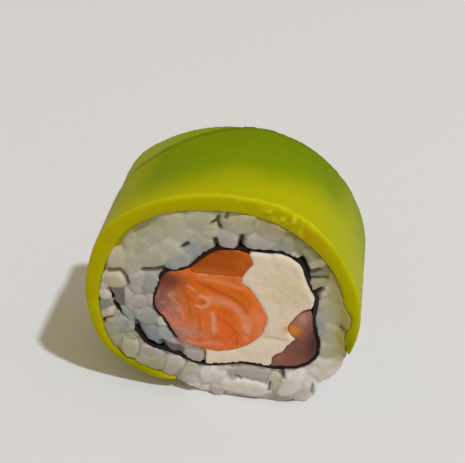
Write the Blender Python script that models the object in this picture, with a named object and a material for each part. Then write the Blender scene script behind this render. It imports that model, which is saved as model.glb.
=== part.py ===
"""Uramaki: one piece of an inside-out sushi roll, lying on its side with its two cut faces upright.

A sheet of seaweed is rolled round strips of salmon and cream cheese, rice is pressed round the
seaweed, and slices of avocado are laid over the rice. The roll is the same from cut face to cut
face, so each piece is an outline of the cut face, drawn in millimetres, given the roll's length.
X is to the right across the front cut face, Y runs from the front cut face to the rear one, and
Z is up. The origin is on the resting surface, under the middle of the roll. Units are metres.
"""

import math
import random

import bmesh
import bpy
import numpy as np
from mathutils import Matrix

MM = 0.001

ROLL_LENGTH = 22.4 * MM
FRONT = -ROLL_LENGTH / 2
BACK = ROLL_LENGTH / 2
GAP = 0.3 * MM
CURVE_STEPS = 3

# The avocado: two thin slices that lap over the roll from its lower left to its right side.
AVOCADO_OUTSIDE = [
    (-7.1, 2.2), (-10.9, 2.1), (-14.7, 3.6), (-18.0, 5.8), (-20.9, 9.2), (-22.4, 13.8),
    (-23.1, 19.4), (-22.4, 24.9), (-20.7, 30.3), (-18.1, 34.2), (-14.5, 37.0), (-10.0, 39.4),
    (-5.0, 40.9), (0.0, 41.5), (5.2, 41.2), (9.8, 40.0), (14.0, 37.5), (18.0, 33.5),
    (20.6, 29.2), (22.3, 24.8), (23.1, 20.2), (23.0, 16.6), (22.0, 12.5),
]
AVOCADO_INSIDE = [
    (-7.5, 2.7), (-10.6, 3.9), (-14.3, 5.4), (-17.4, 7.2), (-19.4, 10.1), (-20.4, 14.0),
    (-20.8, 18.4), (-20.2, 22.6), (-19.0, 26.6), (-17.4, 30.4), (-14.9, 33.7), (-11.8, 35.8),
    (-7.8, 37.5), (-3.0, 38.3), (2.0, 38.6), (6.4, 37.9), (9.8, 36.6), (12.8, 34.6),
    (15.6, 32.1), (17.7, 29.3), (19.2, 26.4), (20.2, 22.9), (21.6, 20.4), (20.9, 16.4),
    (21.7, 13.0),
]
# The rear slice starts where a slanted knife line crosses the roll: y = start + x share + z share.
SEAM_START = 14.75 * MM
SEAM_RISE_X = 0.268
SEAM_RISE_Z = 0.165
REAR_SLICE_STEP = 0.35 * MM

# The rice shows under the roll, between the two ends of the avocado, and is flat where it rests.
RICE_EDGE = [
    (21.9, 12.0), (20.9, 9.6), (19.3, 7.0), (17.4, 4.4), (15.2, 2.1), (12.4, 0.0), (8.0, -0.7),
    (3.0, -0.7), (-2.0, -0.3), (-4.8, 0.6), (-7.2, 2.0),
]
RICE_CORE_INSET = 0.4 * MM
RICE_CORE_RECESS = 1.5 * MM

# The seaweed: one sheet, from its inner end beside the salmon, once round, to its tail in the rice.
SEAWEED_THICKNESS = 0.6 * MM
SEAWEED_PATH = [
    (-7.3, 12.1), (-8.4, 13.8), (-9.6, 16.0), (-11.0, 17.8), (-11.3, 19.6), (-10.8, 22.0),
    (-10.1, 24.4), (-8.9, 25.9), (-6.5, 26.5), (-4.6, 27.8), (-3.0, 29.8), (-0.8, 31.3),
    (3.0, 31.9), (7.0, 31.9), (9.9, 31.9), (12.4, 30.6), (13.6, 28.3), (14.5, 25.9),
    (15.6, 23.7), (15.5, 20.8), (16.0, 17.2), (16.9, 13.9), (16.4, 11.2), (14.4, 9.1),
    (11.0, 8.1), (7.0, 8.1), (3.6, 8.1), (0.0, 7.1), (-3.5, 6.8), (-6.0, 7.8),
    (-8.7, 8.8), (-12.0, 9.6), (-13.8, 11.8), (-15.6, 14.4), (-17.6, 16.8), (-18.8, 20.0),
]
# Below the salmon the seaweed is open, and a wedge of rice runs in as far as the cream cheese.
RICE_WEDGE = [(-2.4, 7.4), (-2.5, 9.4), (-3.6, 10.3), (-6.0, 10.7), (-7.4, 11.3)]
WEDGE_START = 28

# The fillings, each an outline of its own, which meet along lines that they share. Each is drawn
# in a little more than half the gap, so that the gap stays open on curves as well.
FILLING_INSET = 0.6 * GAP
SALMON_SEAM = [(-5.6, 26.7), (-3.0, 26.4), (0.0, 26.5), (3.2, 26.6)]
SALMON_UPPER_TOP = [(4.2, 28.2), (4.8, 29.4), (4.2, 30.9), (1.0, 31.4), (-1.2, 30.6), (-3.4, 28.7)]
SALMON_RIGHT_SIDE = [
    (3.4, 25.4), (4.6, 24.4), (5.8, 22.7), (7.3, 20.2), (7.9, 18.2), (7.2, 15.4), (5.6, 13.2),
    (3.5, 11.6), (1.0, 10.6), (-1.2, 10.4), (-2.4, 10.6),
]
SALMON_LEFT_SIDE = [
    (-5.0, 11.1), (-7.0, 11.6), (-8.2, 13.8), (-9.4, 16.0), (-10.8, 17.9), (-11.1, 19.7),
    (-10.6, 22.0), (-9.9, 24.2), (-8.7, 25.7), (-6.8, 26.4),
]
CHEESE_OUTSIDE = [
    (4.6, 31.7), (7.0, 31.8), (9.9, 31.7), (12.2, 30.4), (13.4, 28.2), (14.3, 25.8),
    (15.4, 23.6), (15.2, 21.9),
]
CHEESE_STEP = [
    (13.6, 20.9), (12.4, 19.4), (11.5, 17.6), (11.4, 16.6), (12.2, 15.4), (12.8, 14.8),
    (11.6, 13.2), (10.9, 11.9), (9.9, 11.2), (9.2, 9.9), (9.0, 8.3),
]
CHEESE_FOOT = [(7.0, 8.3), (3.6, 8.3), (0.0, 7.3), (-2.1, 7.2), (-2.2, 9.2)]
CHEESE_TIP = [(3.3, 26.1), (3.2, 26.8)]
DARK_SALMON_OUTSIDE = [
    (11.0, 8.3), (14.2, 9.3), (16.1, 11.4), (16.7, 13.8), (15.8, 17.1), (15.3, 20.0),
]

# Cooked short grains, pressed together. Each is a ball of few sides, drawn out along its length.
GRAIN_WIDTH = 3.1 * MM
GRAIN_LENGTH = 6.2 * MM
GRAIN_SPACING = 2.8 * MM
GRAIN_SIDES = 6
GRAIN_RINGS = 4
GRAIN_TRIES = 3200
GRAIN_SEED = 11
# What a grain shrinks to, in turn, where it doesn't fit: shares of its length and of its width.
GRAIN_FITS = ((1.0, 1.0), (0.85, 1.0), (0.75, 0.9), (0.65, 0.85), (0.6, 0.75))
FACE_GRAIN_DEPTH = 1.5 * MM
FACE_GRAIN_SCATTER = 0.5 * MM
# The grains of the bare flank lie in rows along the roll, nearly their whole width in the core.
FLANK_GRAINS_FROM = 1.6 * MM
FLANK_GRAINS_STOP = 1.0 * MM
FLANK_STEP = 3.4 * MM
FLANK_ROWS = 3
FLANK_ROW_STEP = 5.6 * MM
FLANK_SCATTER = 1.0 * MM
FLANK_LEAN = 0.5
FLANK_SUNK = 0.52

# Points closer together than this are one point.
WELD = 0.005 * MM
FINE_WELD = 0.002 * MM
# Half the width and the height that a block needs to reach past the roll all round.
PAST_SIDE = 30 * MM
PAST_TOP = 50 * MM
PAST_BOTTOM = -9 * MM


def empty_scene():
    """Removes what the scene holds and gives one collection for the roll and one for its cutters."""
    for thing in list(bpy.data.objects):
        bpy.data.objects.remove(thing, do_unlink=True)
    collections = []
    for name in ("uramaki", "cutters"):
        collection = bpy.data.collections.new(name)
        bpy.context.scene.collection.children.link(collection)
        collections.append(collection)
    return collections


def food_material(name, colour, roughness):
    """A moist food surface: no metal in it, and a gloss set by its roughness."""
    material = bpy.data.materials.new(name)
    material.use_nodes = True
    shader = material.node_tree.nodes["Principled BSDF"]
    shader.inputs["Base Color"].default_value = (*colour, 1.0)
    shader.inputs["Roughness"].default_value = roughness
    shader.inputs["Metallic"].default_value = 0.0
    return material


def smooth(points, closed=False):
    """A centripetal Catmull-Rom curve through points in millimetres, as an array in metres."""
    drawn = np.array(points, float) * MM
    if closed:
        drawn = np.vstack([drawn[-1], drawn, drawn[:2]])
    else:
        drawn = np.vstack([2 * drawn[0] - drawn[1], drawn, 2 * drawn[-1] - drawn[-2]])
    curve = []
    for a, b, c, d in zip(drawn, drawn[1:], drawn[2:], drawn[3:]):
        t0 = 0.0
        t1 = t0 + math.dist(a, b) ** 0.5
        t2 = t1 + math.dist(b, c) ** 0.5
        t3 = t2 + math.dist(c, d) ** 0.5
        for t in np.linspace(t1, t2, CURVE_STEPS, endpoint=False):
            ab = a + (b - a) * (t - t0) / (t1 - t0)
            bc = b + (c - b) * (t - t1) / (t2 - t1)
            cd = c + (d - c) * (t - t2) / (t3 - t2)
            abc = ab + (bc - ab) * (t - t0) / (t2 - t0)
            bcd = bc + (cd - bc) * (t - t1) / (t3 - t1)
            curve.append(abc + (bcd - abc) * (t - t1) / (t2 - t1))
    if not closed:
        curve.append(drawn[-2])
    return np.array(curve)


def shifted(curve, distance, closed=True):
    """The curve moved sideways, to the right of its direction: inward where it runs clockwise."""
    if closed:
        before, after = np.roll(curve, 1, axis=0), np.roll(curve, -1, axis=0)
    else:
        before = np.vstack([curve[0], curve[:-1]])
        after = np.vstack([curve[1:], curve[-1]])
    along = after - before
    along /= np.linalg.norm(along, axis=1, keepdims=True)
    return curve + distance * np.column_stack([along[:, 1], -along[:, 0]])


def strip(path, half_width, extra=0.0):
    """The closed outline of a strip along an open path, made longer at both ends by extra."""
    first = path[0] + extra * (path[0] - path[1]) / math.dist(path[0], path[1])
    last = path[-1] + extra * (path[-1] - path[-2]) / math.dist(path[-1], path[-2])
    path = np.vstack([first, path, last]) if extra else path
    return np.vstack([shifted(path, -half_width, False), shifted(path, half_width, False)[::-1]])


def slab(name, outline, front, back, collection, material=None):
    """An outline of the cut face, filled and given the depth from front to back along Y."""
    curve = bpy.data.curves.new(name + ".outline", "CURVE")
    curve.dimensions = "2D"
    curve.fill_mode = "BOTH"
    curve.extrude = (back - front) / 2
    spline = curve.splines.new("POLY")
    spline.points.add(len(outline) - 1)
    for point, (x, z) in zip(spline.points, outline):
        point.co = (x, z, 0.0, 1.0)
    spline.use_cyclic_u = True
    drawn = bpy.data.objects.new(name + ".outline", curve)
    drawn.matrix_world = Matrix.Translation((0, (front + back) / 2, 0)) @ Matrix.Rotation(
        math.pi / 2, 4, "X")
    collection.objects.link(drawn)
    mesh = mesh_of(drawn)
    mesh.name = name
    piece = bpy.data.objects.new(name, mesh)
    piece.matrix_world = drawn.matrix_world.copy()
    bpy.data.objects.remove(drawn, do_unlink=True)
    collection.objects.link(piece)
    tidy(mesh)
    if material:
        mesh.materials.clear()
        mesh.materials.append(material)
    return piece


def mesh_of(piece):
    """The piece's mesh with its modifiers applied."""
    bpy.context.view_layer.update()
    seen = piece.evaluated_get(bpy.context.evaluated_depsgraph_get())
    return bpy.data.meshes.new_from_object(seen)


def tidy(mesh):
    """Welds the caps to the walls and turns all faces out."""
    work = bmesh.new()
    work.from_mesh(mesh)
    bmesh.ops.remove_doubles(work, verts=work.verts, dist=WELD)
    bmesh.ops.recalc_face_normals(work, faces=work.faces)
    work.to_mesh(mesh)
    work.free()


def cutter(piece):
    """Marks a piece as a cutter, which isn't part of the roll."""
    piece.hide_render = True
    piece.display_type = "WIRE"
    return piece


def combine(piece, operation, others):
    """One Boolean of the piece with all that a collection holds, applied."""
    boolean = piece.modifiers.new(operation.lower(), "BOOLEAN")
    boolean.operation = operation
    boolean.operand_type = "COLLECTION"
    boolean.collection = others
    boolean.solver = "EXACT"
    mesh = mesh_of(piece)
    piece.modifiers.clear()
    piece.data = mesh
    mesh.name = piece.name


def cut(piece, cutters):
    """Takes the cutters from the piece, through a collection that is removed afterwards."""
    group = bpy.data.collections.new("cut")
    for shape in cutters:
        group.objects.link(shape)
    combine(piece, "DIFFERENCE", group)
    bpy.data.collections.remove(group)


def inside(points, outline):
    """Which of the points lie inside a closed outline, by counting the crossings to their right."""
    x, z = points[:, 0:1], points[:, 1:2]
    ax, az = outline[:, 0], outline[:, 1]
    bx, bz = np.roll(ax, -1), np.roll(az, -1)
    spans = (az > z) != (bz > z)
    rise = np.where(bz == az, 1.0, bz - az)
    crossing = ax + (z - az) * (bx - ax) / rise
    return (spans & (x < crossing)).sum(axis=1) % 2 == 1


def distance(points, path):
    """How far each point lies from an open path."""
    a, b = path[:-1], path[1:]
    along = b - a
    reach = ((points[:, None] - a) * along).sum(axis=2) / (along ** 2).sum(axis=1)
    nearest = a + np.clip(reach, 0, 1)[..., None] * along
    return np.linalg.norm(points[:, None] - nearest, axis=2).min(axis=1)


def knife_half(name, side, collection):
    """A block on one side of the slanted line where the front slice of avocado ends."""
    normal = np.array([-SEAM_RISE_X, 1.0, -SEAM_RISE_Z])
    normal /= np.linalg.norm(normal)
    size = 6 * ROLL_LENGTH
    work = bmesh.new()
    bmesh.ops.create_cube(work, size=size)
    mesh = bpy.data.meshes.new(name)
    work.to_mesh(mesh)
    work.free()
    block = bpy.data.objects.new(name, mesh)
    turn = Matrix.Rotation(math.asin(normal[2]), 4, "X")
    turn = Matrix.Rotation(math.atan2(-normal[0], normal[1]), 4, "Z") @ turn
    start = np.array([0.0, FRONT + SEAM_START, 0.0])
    middle = start + side * normal * (size - GAP) / 2
    block.matrix_world = Matrix.Translation(middle) @ turn
    collection.objects.link(block)
    return cutter(block)


def avocado(roll, cutters):
    """The front slice, laid over the rear one, each cut square at the roll's face."""
    outside, within = smooth(AVOCADO_OUTSIDE), smooth(AVOCADO_INSIDE)
    front = slab("avocado_front", np.vstack([outside, within[::-1]]), FRONT, BACK, roll,
                 food_material("ripe avocado", (0.38, 0.35, 0.01), 0.35))
    cut(front, [knife_half("behind the seam", 1, cutters)])
    lower = shifted(outside, REAR_SLICE_STEP, False)
    lower[0], lower[-1] = outside[0], outside[-1]
    rear = slab("avocado_rear", np.vstack([lower, within[::-1]]), FRONT, BACK, roll,
                food_material("ripe avocado, greener side", (0.22, 0.30, 0.02), 0.35))
    cut(rear, [knife_half("before the seam", -1, cutters)])


def seaweed(roll):
    """The rolled sheet, a little behind the cut faces, where the knife drew it back."""
    recess = 0.4 * MM
    slab("nori", strip(smooth(SEAWEED_PATH), SEAWEED_THICKNESS / 2), FRONT + recess, BACK - recess,
         roll, food_material("toasted seaweed", (0.008, 0.006, 0.004), 0.5))


def seaweed_slot(cutters):
    """The room that the seaweed takes, with the gap all round."""
    outline = strip(smooth(SEAWEED_PATH), SEAWEED_THICKNESS / 2 + GAP, GAP)
    return cutter(slab("seaweed slot", outline, 2 * FRONT, 2 * BACK, cutters))


def filling(name, lines, recess, colour, slot, roll):
    """A strip of filling: its outline drawn in for the gap, and cut clear of the seaweed."""
    outline = shifted(smooth(sum(lines, []), closed=True), FILLING_INSET)
    piece = slab(name, outline, FRONT + recess, BACK - recess, roll,
                 food_material(name.replace("_", " "), colour, 0.35))
    cut(piece, [slot])


def fillings(roll, slot):
    """Two strips of pale salmon, one of darker salmon, and the cream cheese between them."""
    lower = SALMON_SEAM[::-1]
    filling("salmon_upper", [SALMON_SEAM[:1], SALMON_UPPER_TOP[::-1], lower[:-1]], 0.1 * MM,
            (0.42, 0.09, 0.01), slot, roll)
    filling("salmon_main", [SALMON_SEAM, SALMON_RIGHT_SIDE, SALMON_LEFT_SIDE], 0.0,
            (0.55, 0.14, 0.04), slot, roll)
    filling("cream_cheese", [CHEESE_OUTSIDE, CHEESE_STEP, CHEESE_FOOT, SALMON_RIGHT_SIDE[::-1],
                             CHEESE_TIP, SALMON_UPPER_TOP[:3]], 0.2 * MM,
            (0.60, 0.50, 0.36), slot, roll)
    filling("salmon_right", [CHEESE_STEP[::-1][:-1], [(14.6, 21.0)], DARK_SALMON_OUTSIDE[::-1]],
            0.3 * MM, (0.20, 0.05, 0.03), slot, roll)


def grain(middle, along, out, length, width, collection):
    """One grain: a ball drawn out along its length, whose flat side faces out."""
    along = np.array(along) / np.linalg.norm(along)
    out = np.array(out) - along * np.dot(out, along)
    out /= np.linalg.norm(out)
    across = np.cross(out, along)
    turn = Matrix(np.column_stack([across, out, along]).tolist()).to_4x4()
    size = Matrix.Diagonal((width / 2, GRAIN_WIDTH / 2, length / 2, 1))
    work = bmesh.new()
    bmesh.ops.create_uvsphere(work, u_segments=GRAIN_SIDES, v_segments=GRAIN_RINGS, radius=1,
                              matrix=Matrix.Translation(middle) @ turn @ size)
    mesh = bpy.data.meshes.new("grain")
    work.to_mesh(mesh)
    work.free()
    collection.objects.link(bpy.data.objects.new("grain", mesh))


def face_grains(draw, side, edge, hollow, path, grains):
    """Grains spread over one cut face, each moved or shortened until it is clear of its bounds."""
    placed = []
    low, high = edge.min(axis=0), edge.max(axis=0)
    ring = np.linspace(0, 2 * math.pi, 12, endpoint=False)
    clearance = SEAWEED_THICKNESS / 2 + GAP
    for attempt in range(GRAIN_TRIES):
        middle = np.array([draw.uniform(low[0], high[0]), draw.uniform(low[1], high[1])])
        angle = draw.uniform(0, math.pi)
        depth = FACE_GRAIN_DEPTH + draw.uniform(0, 1) * FACE_GRAIN_SCATTER
        if any(math.dist(middle, other) < GRAIN_SPACING for other in placed):
            continue
        along = np.array([math.cos(angle), math.sin(angle)])
        across = np.array([-along[1], along[0]])
        for shorter, slimmer in GRAIN_FITS:
            length, width = GRAIN_LENGTH * shorter, GRAIN_WIDTH * slimmer
            rim = (middle + np.outer(np.cos(ring), along) * length / 2
                   + np.outer(np.sin(ring), across) * width / 2)
            fits = inside(rim, edge).all() and not inside(rim, hollow).any()
            if fits and (distance(rim, path) > clearance).all():
                y = FRONT + depth if side < 0 else BACK - depth
                grain((middle[0], y, middle[1]), (along[0], 0.0, along[1]), (0.0, side, 0.0),
                      length, width, grains)
                placed.append(middle)
                break


def side_grains(draw, grains):
    """Rows of grains on the rice's bare right flank, below the end of the avocado."""
    flank = smooth(RICE_EDGE[:6])
    normal = flank - shifted(flank, 1.0, False)
    walked = np.concatenate([[0], np.cumsum(np.linalg.norm(np.diff(flank, axis=0), axis=1))])
    for place in np.arange(FLANK_GRAINS_FROM, walked[-1] - FLANK_GRAINS_STOP, FLANK_STEP):
        middle = np.array([np.interp(place, walked, flank[:, k]) for k in (0, 1)])
        out = np.array([np.interp(place, walked, normal[:, k]) for k in (0, 1)])
        middle -= out / np.linalg.norm(out) * GRAIN_WIDTH * FLANK_SUNK
        for row in range(FLANK_ROWS):
            y = (row - (FLANK_ROWS - 1) / 2) * FLANK_ROW_STEP + draw.uniform(-1, 1) * FLANK_SCATTER
            lean = draw.uniform(-FLANK_LEAN, FLANK_LEAN)
            grain((middle[0], y, middle[1]), (lean * out[1], 1.0, -lean * out[0]),
                  (out[0], 0.0, out[1]), GRAIN_LENGTH, GRAIN_WIDTH, grains)


def drop_scraps(piece):
    """Keeps the largest connected body and fills in what is closed off inside it."""
    work = bmesh.new()
    work.from_mesh(piece.data)
    bmesh.ops.remove_doubles(work, verts=work.verts, dist=FINE_WELD)
    bmesh.ops.dissolve_degenerate(work, dist=FINE_WELD, edges=work.edges)
    bmesh.ops.triangulate(work, faces=work.faces)
    bodies, unseen = [], set(work.verts)
    while unseen:
        body, front = set(), [unseen.pop()]
        while front:
            vert = front.pop()
            body.add(vert)
            for edge in vert.link_edges:
                other = edge.other_vert(vert)
                if other in unseen:
                    unseen.discard(other)
                    front.append(other)
        bodies.append(body)
    largest = max(bodies, key=len)
    loose = [vert for body in bodies if body is not largest for vert in body]
    bmesh.ops.delete(work, geom=loose, context="VERTS")
    work.to_mesh(piece.data)
    work.free()


def rice(roll, cutters, slot):
    """The rice: a core with the grains that show fused on, hollow where the fillings run."""
    within = shifted(smooth(AVOCADO_INSIDE), GAP, False)
    edge = np.vstack([within, smooth(RICE_EDGE)])
    core_edge = np.vstack([within, shifted(smooth(RICE_EDGE), RICE_CORE_INSET, False)])
    path = smooth(SEAWEED_PATH)
    hollow = np.vstack([path[:WEDGE_START * CURVE_STEPS + 1], smooth(RICE_WEDGE)])
    core = slab("rice", core_edge, FRONT + RICE_CORE_RECESS, BACK - RICE_CORE_RECESS, roll,
                food_material("cooked rice", (0.42, 0.40, 0.33), 0.4))

    grains = bpy.data.collections.new("grains")
    draw = random.Random(GRAIN_SEED)
    for side in (-1, 1):
        face_grains(draw, side, edge, hollow, path, grains)
    side_grains(draw, grains)
    combine(core, "UNION", grains)
    for shape in list(grains.objects):
        bpy.data.objects.remove(shape, do_unlink=True)
    bpy.data.collections.remove(grains)

    filled = cutter(slab("filling hollow", hollow, 2 * FRONT, 2 * BACK, cutters))
    blocks = [slot, filled]
    for name, top, front, back in (("resting surface", 0.0, 2 * FRONT, 2 * BACK),
                                   ("front knife", PAST_TOP, 2 * FRONT, FRONT),
                                   ("rear knife", PAST_TOP, BACK, 2 * BACK)):
        square = np.array([(-PAST_SIDE, PAST_BOTTOM), (-PAST_SIDE, top), (PAST_SIDE, top),
                           (PAST_SIDE, PAST_BOTTOM)])
        blocks.append(cutter(slab(name, square, front, back, cutters)))
    cut(core, blocks)
    drop_scraps(core)


roll_parts, cutting_parts = empty_scene()
nori_slot = seaweed_slot(cutting_parts)
avocado(roll_parts, cutting_parts)
seaweed(roll_parts)
fillings(roll_parts, nori_slot)
rice(roll_parts, cutting_parts, nori_slot)
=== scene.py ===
import math
import random

import bmesh
import bpy
import numpy as np
from mathutils import Matrix, Vector, noise
from mathutils.bvhtree import BVHTree


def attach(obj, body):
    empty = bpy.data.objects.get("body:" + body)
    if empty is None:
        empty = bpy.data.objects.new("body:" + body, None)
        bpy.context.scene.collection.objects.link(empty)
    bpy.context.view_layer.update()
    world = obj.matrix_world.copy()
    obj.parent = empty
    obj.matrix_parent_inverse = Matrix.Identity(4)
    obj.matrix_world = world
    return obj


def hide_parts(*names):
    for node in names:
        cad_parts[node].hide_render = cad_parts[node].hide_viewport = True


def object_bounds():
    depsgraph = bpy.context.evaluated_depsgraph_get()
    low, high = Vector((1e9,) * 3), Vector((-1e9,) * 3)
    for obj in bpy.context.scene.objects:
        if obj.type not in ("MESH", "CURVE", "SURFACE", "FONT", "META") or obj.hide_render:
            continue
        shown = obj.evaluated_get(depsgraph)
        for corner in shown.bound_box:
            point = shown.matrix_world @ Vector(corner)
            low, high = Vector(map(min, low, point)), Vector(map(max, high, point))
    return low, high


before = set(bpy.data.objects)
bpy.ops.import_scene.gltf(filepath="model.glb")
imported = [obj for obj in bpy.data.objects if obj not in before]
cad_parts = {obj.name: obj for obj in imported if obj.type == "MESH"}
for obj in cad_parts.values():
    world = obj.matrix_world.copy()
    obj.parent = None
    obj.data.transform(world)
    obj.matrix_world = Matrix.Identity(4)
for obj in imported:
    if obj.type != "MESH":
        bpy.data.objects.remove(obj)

cad_box = [list(corner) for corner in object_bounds()]

# The camera looks down on the front cut face from a little to its right, with a slight roll, as
# the photograph does. Its place and lens come from a fit to the roll's outline.
MM = 0.001
CAMERA_PLACE = Vector((17.0, -141.3, 124.3)) * MM
CAMERA_TURN, CAMERA_TILT, CAMERA_ROLL = math.radians(6.82), math.radians(34.21), math.radians(2.68)
camera_data = bpy.data.cameras.new("camera")
camera_data.sensor_width = 36.0
camera_data.lens = 78.24
camera_data.clip_start = 0.01
camera = bpy.data.objects.new("camera", camera_data)
bpy.context.scene.collection.objects.link(camera)
camera.matrix_world = (
    Matrix.Translation(CAMERA_PLACE)
    @ Matrix.Rotation(CAMERA_TURN, 4, "Z")
    @ Matrix.Rotation(math.pi / 2 - CAMERA_TILT, 4, "X")
    @ Matrix.Rotation(CAMERA_ROLL, 4, "Z"))
bpy.context.scene.camera = camera

# The table: a plain pale surface that the roll lies on, wide enough to fill every view. It is a
# board, painted with a roller.
TABLE_REACH = 3.0
SPECK = 2.5 * MM


def linear(hexcode, alpha=1.0):
    """An sRGB hex colour as the linear values that a shader takes."""
    channels = [int(hexcode[i:i + 2], 16) / 255 for i in (1, 3, 5)]
    return (*[c / 12.92 if c <= 0.04045 else ((c + 0.055) / 1.055) ** 2.4 for c in channels], alpha)


def add_node(tree, kind, settings=None, links=None):
    """One shader node, with settings by property or socket, and links by socket."""
    made = tree.nodes.new("ShaderNode" + kind)
    settings = dict(settings or {})
    for name in [name for name in settings if hasattr(made, name)]:
        setattr(made, name, settings.pop(name))
    sockets = {socket.identifier: socket for socket in made.inputs}
    for name, value in settings.items():
        sockets[name].default_value = value
    for name, source in (links or {}).items():
        tree.links.new(source, sockets[name])
    return made


def new_material(name, **settings):
    """A material with its Principled shader, whose own sockets take the settings."""
    material = bpy.data.materials.new(name)
    material.use_nodes = True
    shader = material.node_tree.nodes["Principled BSDF"]
    for socket, value in settings.items():
        shader.inputs[socket.replace("_", " ")].default_value = value
    return material, material.node_tree, shader


work = bmesh.new()
bmesh.ops.create_grid(work, x_segments=2, y_segments=2, size=TABLE_REACH)
table_mesh = bpy.data.meshes.new("table")
work.to_mesh(table_mesh)
work.free()
table = bpy.data.objects.new("table", table_mesh)
bpy.context.scene.collection.objects.link(table)
# Matt paint gives the eye a fine even grain of two near greys, and no gloss.
material, tree, shader = new_material("painted board, matt", Roughness=0.8, Specular_IOR_Level=0.1)
place = add_node(tree, "TexCoord").outputs["Object"]
speck = add_node(tree, "TexNoise", {"Scale": 1 / SPECK, "Detail": 2.0}, {"Vector": place})
tint = add_node(tree, "Mix", {"data_type": "RGBA", "A_Color": linear("#E5E4E3"),
                              "B_Color": linear("#E8E7E6")},
                {"Factor_Float": speck.outputs["Fac"]})
tree.links.new(tint.outputs[2], shader.inputs["Base Color"])
table_mesh.materials.append(material)

# The studio light: one small key light high on the right, which throws the roll's shadow to the
# left and back, and an even, slightly warm surround that fills the shadows.
KEY_FROM = Vector((0.41, -0.25, 0.88)).normalized()
KEY_DISTANCE = 2.4
KEY_COLOUR = "#E8F1FF"
SURROUND_COLOUR = "#ACA08A"
key_data = bpy.data.lights.new("key", "AREA")
key_data.shape = "DISK"
key_data.size = 0.13
key_data.energy = 36.5
key_data.color = linear(KEY_COLOUR)[:3]
key = bpy.data.objects.new("key", key_data)
key.matrix_world = (Matrix.Translation(KEY_FROM * KEY_DISTANCE)
                    @ KEY_FROM.to_track_quat("Z", "Y").to_matrix().to_4x4())
bpy.context.scene.collection.objects.link(key)

world = bpy.data.worlds.new("surround")
bpy.context.scene.world = world
world.use_nodes = True
world.node_tree.nodes["Background"].inputs["Color"].default_value = linear(SURROUND_COLOUR)
world.node_tree.nodes["Background"].inputs["Strength"].default_value = 1.0
bpy.context.scene.view_settings.view_transform = "Standard"

# Avocado: two slices of ripe flesh, about 2.5 mm thick, cut with a wet knife and pressed round the
# roll with film, so that they bend smoothly and keep a soft rounded edge. The flesh runs from
# yellow near the stone to green under the skin.
FRONT, BACK = cad_box[0][1], cad_box[1][1]
AVOCADO_VOXEL = 0.34 * MM
# The cover bulges back and up at its upper left rear, where the rear slice ends.
REAR_SPREAD = Vector((0.0, 0.6, 0.55)) * MM
# It is thicker along its upper left bend, and lumpy where the top of its rim was pressed.
THICK_RIM = [(-17.6, 30.0), (-15.4, 33.2), (-12.6, 35.2)]
LUMPY_RIM = [(7.5, 39.6), (10.0, 38.6), (12.4, 37.2)]
# The seam between the slices: its distance behind the front face, from the place in millimetres.
SEAM_START, SEAM_ACROSS, SEAM_UP = 14.75, 0.268, 0.165


def bmesh_of(node):
    """A copy of a CAD node's mesh, with its loose triangles joined."""
    copied = bmesh.new()
    copied.from_mesh(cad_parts[node].data)
    bmesh.ops.remove_doubles(copied, verts=copied.verts, dist=0.002 * MM)
    return copied


def remeshed(shape, voxel):
    """The closed shape as an even net of small faces."""
    mesh = bpy.data.meshes.new("working")
    shape.to_mesh(mesh)
    shape.free()
    thing = bpy.data.objects.new("working", mesh)
    bpy.context.scene.collection.objects.link(thing)
    net = thing.modifiers.new("net", "REMESH")
    net.mode = "VOXEL"
    net.voxel_size = voxel
    bpy.context.view_layer.update()
    seen = thing.evaluated_get(bpy.context.evaluated_depsgraph_get())
    made = bpy.data.meshes.new_from_object(seen)
    result = bmesh.new()
    result.from_mesh(made)
    bpy.data.objects.remove(thing)
    bpy.data.meshes.remove(mesh)
    bpy.data.meshes.remove(made)
    return result


def soften(shape, rounds, factor=0.5):
    """Rounds the edges by drawing each point towards its neighbours."""
    for _ in range(rounds):
        bmesh.ops.smooth_vert(shape, verts=shape.verts, factor=factor, use_axis_x=True,
                              use_axis_y=True, use_axis_z=True)


def grow(shape, swell, neighbours, towards, more=0.0, reach=0.45 * MM):
    """Moves each point out along its normal, and further where a neighbouring node is near."""
    shape.normal_update()
    trees = [BVHTree.FromBMesh(bmesh_of(node)) for node in neighbours]
    extra = (towards + more * np.ones(len(shape.verts))).tolist()
    for vert, share in zip(shape.verts, extra):
        near = min(tree.find_nearest(vert.co)[3] for tree in trees)
        vert.co += vert.normal * (swell(vert.co) + share * math.exp(-(near / reach) ** 4))


def finish_piece(name, shape, material, slot, *nodes):
    """Makes the piece from its mesh, smooth, with its material, riding on the roll's one body."""
    mesh = bpy.data.meshes.new(name)
    shape.to_mesh(mesh)
    shape.free()
    mesh.shade_smooth()
    mesh.materials.append(material)
    piece = bpy.data.objects.new(name, mesh)
    bpy.context.scene.collection.objects.link(piece)
    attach(piece, "root")
    if nodes:
        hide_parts(*nodes)
    return piece


def points_of(shape):
    """The shape's points as an array."""
    return np.array([vert.co for vert in shape.verts])


def rough(point, size, seed=0.0):
    """Smooth noise from about -1 to 1, with bumps of the given size."""
    return noise.noise(Vector(point) / size + Vector((seed, seed, seed)))


def near_line(points, line, width):
    """How strongly each point lies on a line of the cut face: 1 on it, falling to 0 beside it."""
    line = np.array(line) * MM
    flat = points[:, (0, 2)]
    best = np.full(len(points), 1e9)
    for start, end in zip(line, line[1:]):
        along = end - start
        reach = np.clip(((flat - start) @ along) / (along @ along), 0, 1)
        best = np.minimum(best, np.linalg.norm(flat - start - reach[:, None] * along, axis=1))
    return np.exp(-(best / (width * MM)) ** 2)


def near_spot(points, x, z, wide, high):
    """How strongly each point lies in a soft oval of the cut face."""
    across = (points[:, 0] - x * MM) / (wide * MM)
    up = (points[:, 2] - z * MM) / (high * MM)
    return np.exp(-(across ** 2 + up ** 2))


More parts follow.
